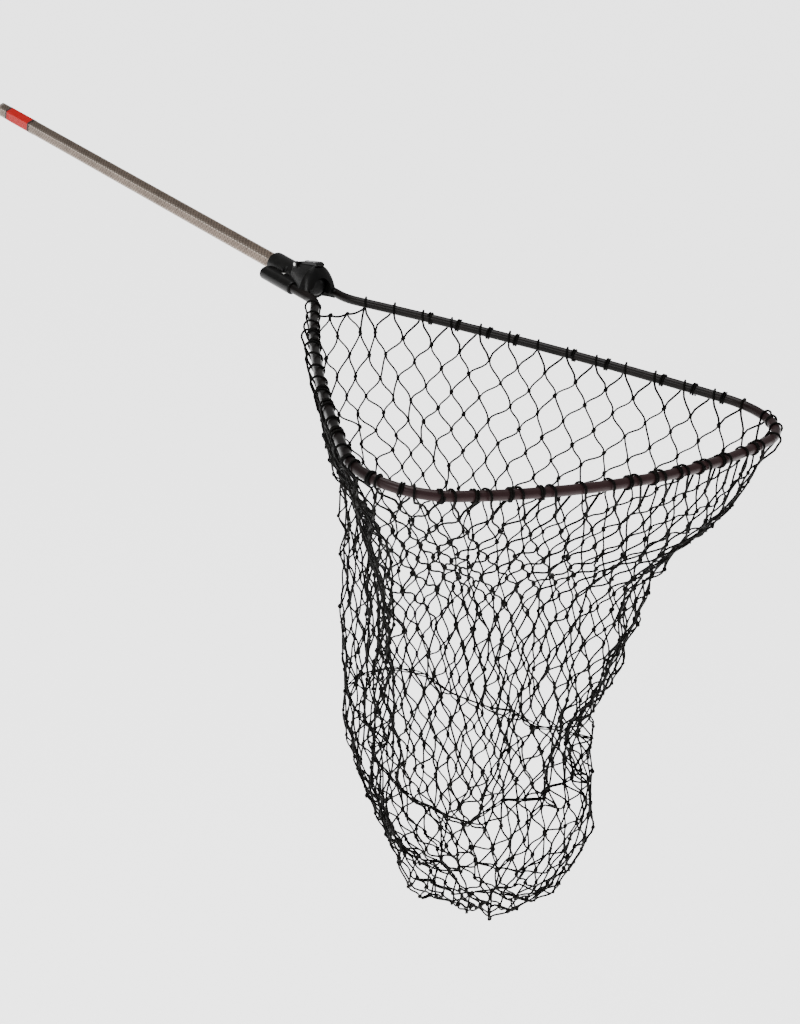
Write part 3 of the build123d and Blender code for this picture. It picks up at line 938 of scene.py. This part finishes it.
    def settle(self) -> None:
        """Lets the knots sag: bars keep their length, and each knot stays near where it was laid."""
        goal = self.knots.copy()
        free = np.ones(len(goal))
        free[: self.columns] = 0.0
        length = self.bar * (1 + self.random.normal(0, self.uneven, len(self.bars)))
        fall = np.array(self.plumb) / norm(self.plumb) * GRAVITY
        groups = self.groups()
        depth = np.clip((goal[0, 2] - goal[:, 2] - self.loose_depth) / (2 * self.loose_depth), 0, 1)
        level = self.least_hold + self.hold * depth ** 2 * (3 - 2 * depth)
        hold = free[:, None] * np.c_[level, level, self.lift * (1 + 3 * depth)]
        now, before = goal.copy(), goal.copy()
        for _ in range(self.steps):
            speed = (now - before) * self.drag
            before = now.copy()
            now = now + (speed + fall * self.beat * self.beat) * free[:, None]
            now += (goal - now) * hold
            for _ in range(self.passes):
                for group in groups:
                    a, b = self.bars[group].T
                    gap = now[b] - now[a]
                    span = norm(gap, axis=1) + 1e-9
                    kept = np.clip(span, self.shortest * length[group], length[group])
                    share = (span - kept) / span / np.maximum(free[a] + free[b], 1.0)
                    now[a] += gap * (share * free[a])[:, None]
                    now[b] -= gap * (share * free[b])[:, None]
        self.knots = now


@dataclass
class NetBag:
    """The knotted bag, its loops round the hoop and the lacing between wall and base."""

    twine: float = 1.3 * MM
    rim_twine: float = 1.5 * MM
    knot: float = 2.9 * MM
    apex_knot: float = 3.0 * MM
    tangle_x: float = 0.25
    tangle_reach: float = 0.12
    wrap_share: float = 0.55
    tube_sides: int = 6
    segments: int = 5
    seed: int = 21

    def __post_init__(self) -> None:
        self.random = np.random.default_rng(self.seed)
        self.drape = Drape()

    def strand(self, a: np.ndarray, b: np.ndarray, segments: int) -> np.ndarray:
        """One bar of twine from knot to knot as a soft S: it leaves each knot nearly straight down."""
        gap = b - a
        span = norm(gap)
        down = UP * span * (-1.0 if gap[2] < 0 else 1.0)
        lean = gap * 0.45 + down * 0.75
        leave = lean + self.random.normal(0, 0.16 * span, 3)
        arrive = lean + self.random.normal(0, 0.16 * span, 3)
        t = np.linspace(0, 1, segments + 1)[:, None]
        return ((2 * t ** 3 - 3 * t ** 2 + 1) * a + (t ** 3 - 2 * t ** 2 + t) * leave
                + (-2 * t ** 3 + 3 * t ** 2) * b + (t ** 3 - t ** 2) * arrive)

    def knot_mesh(self) -> Object:
        """A small closed lump with two crossing ridges, as a pulled-tight netting knot has."""
        edit = bmesh.new()
        bmesh.ops.create_uvsphere(edit, u_segments=10, v_segments=7, radius=1.0)
        for vertex in edit.verts:
            x, y, z = vertex.co
            swell = 1.0 + 0.22 * math.cos(3 * math.atan2(y, x) + 2.4 * z) - 0.10 * abs(z)
            vertex.co = Vector((x * 0.95 * swell, y * 0.80 * swell, z * 1.25))
        mesh = bpy.data.meshes.new("knot_shape")
        edit.to_mesh(mesh)
        edit.free()
        return new_object("knot_shape", mesh)

    def knots(self, name: str, points: np.ndarray, radius: float) -> None:
        """Puts turned and sized knots on the points, as one piece."""
        mesh = bpy.data.meshes.new(name)
        mesh.from_pydata(points.tolist(), [], [])
        turn = mesh.attributes.new("turn", "FLOAT_VECTOR", "POINT")
        turn.data.foreach_set("vector", self.random.uniform(-0.6, 0.6, points.size) *
                              np.tile([1.0, 1.0, 5.0], len(points)))
        size = mesh.attributes.new("size", "FLOAT", "POINT")
        size.data.foreach_set("value", radius * self.random.uniform(0.85, 1.2, len(points)))
        values = {"Knot": self.knot_shape, "Material": self.finish}
        put(self.knot_recipe.apply(name, mesh, values), Body.NET)

    def tubes(self, name: str, lines: list[np.ndarray], radius: float, *replaced: str) -> None:
        """Turns lines into a piece of twine that stands for the named CAD nodes."""
        values = {"Radius": radius, "Sides": self.tube_sides, "Material": self.finish}
        piece = self.twine_recipe.apply(name, lines_mesh(name, lines), values)
        put(piece, Body.NET, replaced)

    def rim_loop(self, centre: np.ndarray, axis: np.ndarray, left: np.ndarray, right: np.ndarray,
                 slack: float) -> np.ndarray:
        """A loop of rim twine: up from one knot, round the hoop's tube, and down to the next."""
        out = np.cross(axis, UP)
        out /= norm(out)
        middle = self.drape.ring_centres.mean(0)
        out *= np.sign(out @ (centre - middle))
        radius = self.drape.tube_radius + self.rim_twine * 1.05
        angles = np.linspace(-0.5 * math.pi - 1.2, -0.5 * math.pi + 1.2 - 2 * math.pi, 15)[::-1]
        turn = []
        for number, angle in enumerate(angles):
            reach = radius + slack * max(0.0, math.cos(angle - 0.2)) ** 1.5
            drift = (number / (len(angles) - 1) - 0.5) * 3.2 * self.rim_twine
            turn.append(centre + (out * math.cos(angle) + UP * math.sin(angle)) * reach + axis * drift)
        turn = np.array(turn)
        swap = norm(turn[0] - left) > norm(turn[0] - right)
        first, second = (right, left) if swap else (left, right)
        rise = self.strand(first, turn[0], 4)[:-1]
        fall = self.strand(turn[-1], second, 4)[1:]
        return np.vstack([rise, turn, fall])

    def build(self, finish: Material) -> None:
        """Drapes the bag and makes every piece of twine."""
        self.finish = finish
        self.twine_recipe, self.knot_recipe = TwineRecipe(), KnotRecipe()
        self.knot_shape = self.knot_mesh()
        bag = self.drape
        bag.lay_out()
        bag.settle()
        self.wall_and_base()
        self.rim()
        self.lacing()
        bpy.data.objects.remove(self.knot_shape)

    def wall_and_base(self) -> None:
        """The bag's bars and knots, in an upper and a lower part."""
        bag = self.drape
        seam_knots = bag.rows[bag.seam_row]
        upper, lower = [], []
        for a, b in bag.bars:
            if a < bag.columns:
                if a >= len(bag.ring_centres):
                    upper.append(self.strand(bag.knots[a], bag.knots[b], self.segments))
                continue
            part = lower if b > seam_knots[-1] else upper
            part.append(self.strand(bag.knots[a], bag.knots[b], self.segments))
        self.tubes("net_wall_twine", upper, self.twine, "net_wall")
        self.tubes("net_base_twine", lower, self.twine, "net_base")
        below = seam_knots[-1] + 1
        self.knots("net_wall_knots", bag.knots[bag.rows[1][0]:below], self.knot)
        self.knots("net_base_knots", bag.knots[below:], self.knot)

    def rim(self) -> None:
        """Loops and wraps round the hoop, and the cord across the apex."""
        bag = self.drape
        rings = len(bag.ring_centres)
        first_row = bag.rows[1]
        loops, wraps = [], []
        for k in range(rings):
            centre, axis = bag.ring_centres[k], bag.ring_axes[k]
            near_rear = math.exp(-(((centre[0] - self.tangle_x) / self.tangle_reach) ** 2)) * (centre[1] < 0)
            slack = (self.random.random() ** 2 * 4.0 + near_rear * self.random.random() * 7.0) * MM
            left, right = bag.knots[first_row[k - 1]], bag.knots[first_row[k]]
            loops.append(self.rim_loop(centre, axis, left, right, slack))
            if self.random.random() < self.wrap_share:
                shift = self.random.uniform(10, 16) * MM
                wraps.append(self.wrap(centre + axis * shift, axis))
        self.tubes("rim_loop_twine", loops, self.rim_twine, "rim_loops")
        self.tubes("rim_wraps", wraps, self.rim_twine * 0.9)
        ends = [bag.knots[rings - 1], *bag.knots[rings:bag.columns], bag.knots[0]]
        apex = [self.sagging(a, b) for a, b in zip(ends, ends[1:])]
        self.tubes("apex_cord", apex, self.rim_twine)
        self.knots("apex_knots", bag.knots[rings:bag.columns], self.apex_knot)

    def wrap(self, centre: np.ndarray, axis: np.ndarray) -> np.ndarray:
        """Almost two turns of twine close round the hoop's tube."""
        out = np.cross(axis, UP)
        out /= norm(out)
        up = np.cross(out, axis)
        angles = np.linspace(0, 2 * math.pi * 1.9, 26) + self.random.uniform(0, 6)
        radius = self.drape.tube_radius + self.rim_twine * 0.95
        drift = np.linspace(-1.9, 1.9, len(angles))[:, None] * self.rim_twine * axis
        return centre + (np.cos(angles)[:, None] * out + np.sin(angles)[:, None] * up) * radius + drift

    def sagging(self, a: np.ndarray, b: np.ndarray, sag: float = 3.0 * MM) -> np.ndarray:
        """A short cord that hangs a little between two points."""
        t = np.linspace(0, 1, 7)[:, None]
        return a + (b - a) * t - UP * 4 * sag * t * (1 - t)

    def lacing(self) -> None:
        """Three loose strands laced along the row that joins wall and base."""
        bag = self.drape
        row = bag.knots[bag.rows[bag.seam_row]]
        around = np.vstack([row, row[:1]])
        t = np.linspace(0, len(row), len(row) * 5 + 1)
        path = part_way(t, around)
        kernel = np.array([0.2, 0.6, 0.2])
        lines = []
        for strand in range(3):
            phase = strand * 2 * math.pi / 3
            spread = self.twine * (1.15 + 0.5 * np.sin(t * 0.7 + strand))
            swing = np.c_[np.cos(t * 1.9 + phase), np.sin(t * 1.9 + phase), np.sin(t * 1.3 + phase)]
            line = path + swing * spread[:, None]
            for i in range(3):
                padded = np.r_[line[-2, i], line[:, i], line[1, i]]
                line[:, i] = np.convolve(padded, kernel, "valid")
            line[-1] = line[0]
            lines.append(line)
        self.tubes("seam_lacing", lines, self.twine * 0.75, "seam_cord")


# Carried-over CAD parts


@dataclass
class CadDresser:
    """Gives carried-over CAD nodes their finishes.

    Attributes:
        nodes: the frame's objects by node name.
    """

    nodes: dict[str, Object]

    def dress(self, finish: Finish, *names: str) -> None:
        """Assigns one finish to the named nodes."""
        material = finish.build()
        for name in names:
            mesh = self.nodes[name].data
            mesh.materials.clear()
            mesh.materials.append(material)
            log.info("%s: %s", name, material.name)


# Studio


@dataclass(frozen=True)
class Shot:
    """Where the camera stands and how it is turned."""

    location: tuple[float, float, float]
    back: tuple[float, float, float]
    right: tuple[float, float, float]
    lens: float

    def build(self) -> None:
        """Makes the scene's camera."""
        data = bpy.data.cameras.new("camera")
        data.lens = self.lens
        data.clip_end = 300.0
        camera = bpy.data.objects.new("camera", data)
        bpy.context.scene.collection.objects.link(camera)
        back = Vector(self.back).normalized()
        up = back.cross(Vector(self.right)).normalized()
        right = up.cross(back)
        turn = Matrix((right, up, back)).transposed().to_4x4()
        camera.matrix_world = Matrix.Translation(self.location) @ turn
        bpy.context.scene.camera = camera


@dataclass(frozen=True)
class Softbox:
    """A square area light that looks at a point."""

    name: str
    location: tuple[float, float, float]
    target: tuple[float, float, float]
    side: float
    power: float

    def build(self) -> None:
        """Makes the light."""
        data = bpy.data.lights.new(self.name, "AREA")
        data.shape = "SQUARE"
        data.size = self.side
        data.energy = self.power
        light = bpy.data.objects.new(self.name, data)
        bpy.context.scene.collection.objects.link(light)
        light.location = self.location
        away = Vector(self.location) - Vector(self.target)
        light.rotation_euler = away.to_track_quat("Z", "Y").to_euler()


@dataclass(frozen=True)
class Studio:
    """A pale floor far below the held net, soft light all round and the camera."""

    floor_side: float = 160.0
    floor_drop: float = 0.9
    sky: float = 0.40

    def build(self) -> None:
        """Makes the floor, the lights, the surroundings and the camera."""
        low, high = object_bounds()
        middle = (low + high) / 2
        height = low.z - self.floor_drop
        half = self.floor_side / 2
        mesh = bpy.data.meshes.new("floor")
        corners = [(x * half, y * half, height) for x, y in ((-1, -1), (1, -1), (1, 1), (-1, 1))]
        mesh.from_pydata(corners, [], [(0, 1, 2, 3)])
        mesh.materials.append(PaleFloor("pale_floor").build())
        new_object("floor", mesh)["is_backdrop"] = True
        world = bpy.data.worlds.new("studio")
        world.use_nodes = True
        background = world.node_tree.nodes["Background"]
        background.inputs["Color"].default_value = (1.0, 1.0, 1.0, 1.0)
        background.inputs["Strength"].default_value = self.sky
        bpy.context.scene.world = world
        target = tuple(middle)
        above = (middle.x, middle.y, high.z + 2.4)
        Softbox("overhead", above, target, side=1.6, power=70.0).build()
        beside = (middle.x + 1.2, middle.y - 2.4, high.z + 1.2)
        Softbox("key", beside, target, side=0.8, power=36.0).build()
        Shot(location=(2.0186, -1.5239, 0.7645), back=(0.6757, -0.61656, 0.40408),
             right=(0.61273, 0.77445, 0.15717), lens=64.6).build()


def main() -> None:
    """Dresses the frame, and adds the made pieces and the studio."""
    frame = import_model()
    nodes = frame["nodes"]
    Studio().build()

    handle = KnurledHandle()
    handle.dress(handle.build(), KnurledAnodising("knurled_anodising"))

    label_low, label_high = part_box("grip_label")
    hoop_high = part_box("hoop_tube")[1]
    dresser = CadDresser(nodes)
    dresser.dress(SatinBronze("satin_bronze"), "butt_cap")
    dresser.dress(BorderedFilm("bordered_film", label_low.x, label_high.x), "grip_label")
    dresser.dress(MouldedPlastic("moulded_plastic"), "front_plug", "yoke_top_shell", "yoke_bottom_shell",
                  "lock_lever")
    dresser.dress(DarkAnodising("dark_anodising", hoop_high.x), "hoop_tube")
    dresser.dress(PlatedSteel("plated_steel"), "clamp_screws", "clamp_nuts", "leg_pins", "lever_pin",
                  "pin_clip", "plug_pin")
    dresser.dress(SoftRubber("soft_rubber"), "brake_pad")

    NetBag().build(TwistedTwine("twisted_twine").build())


if __name__ == "__main__":
    main()
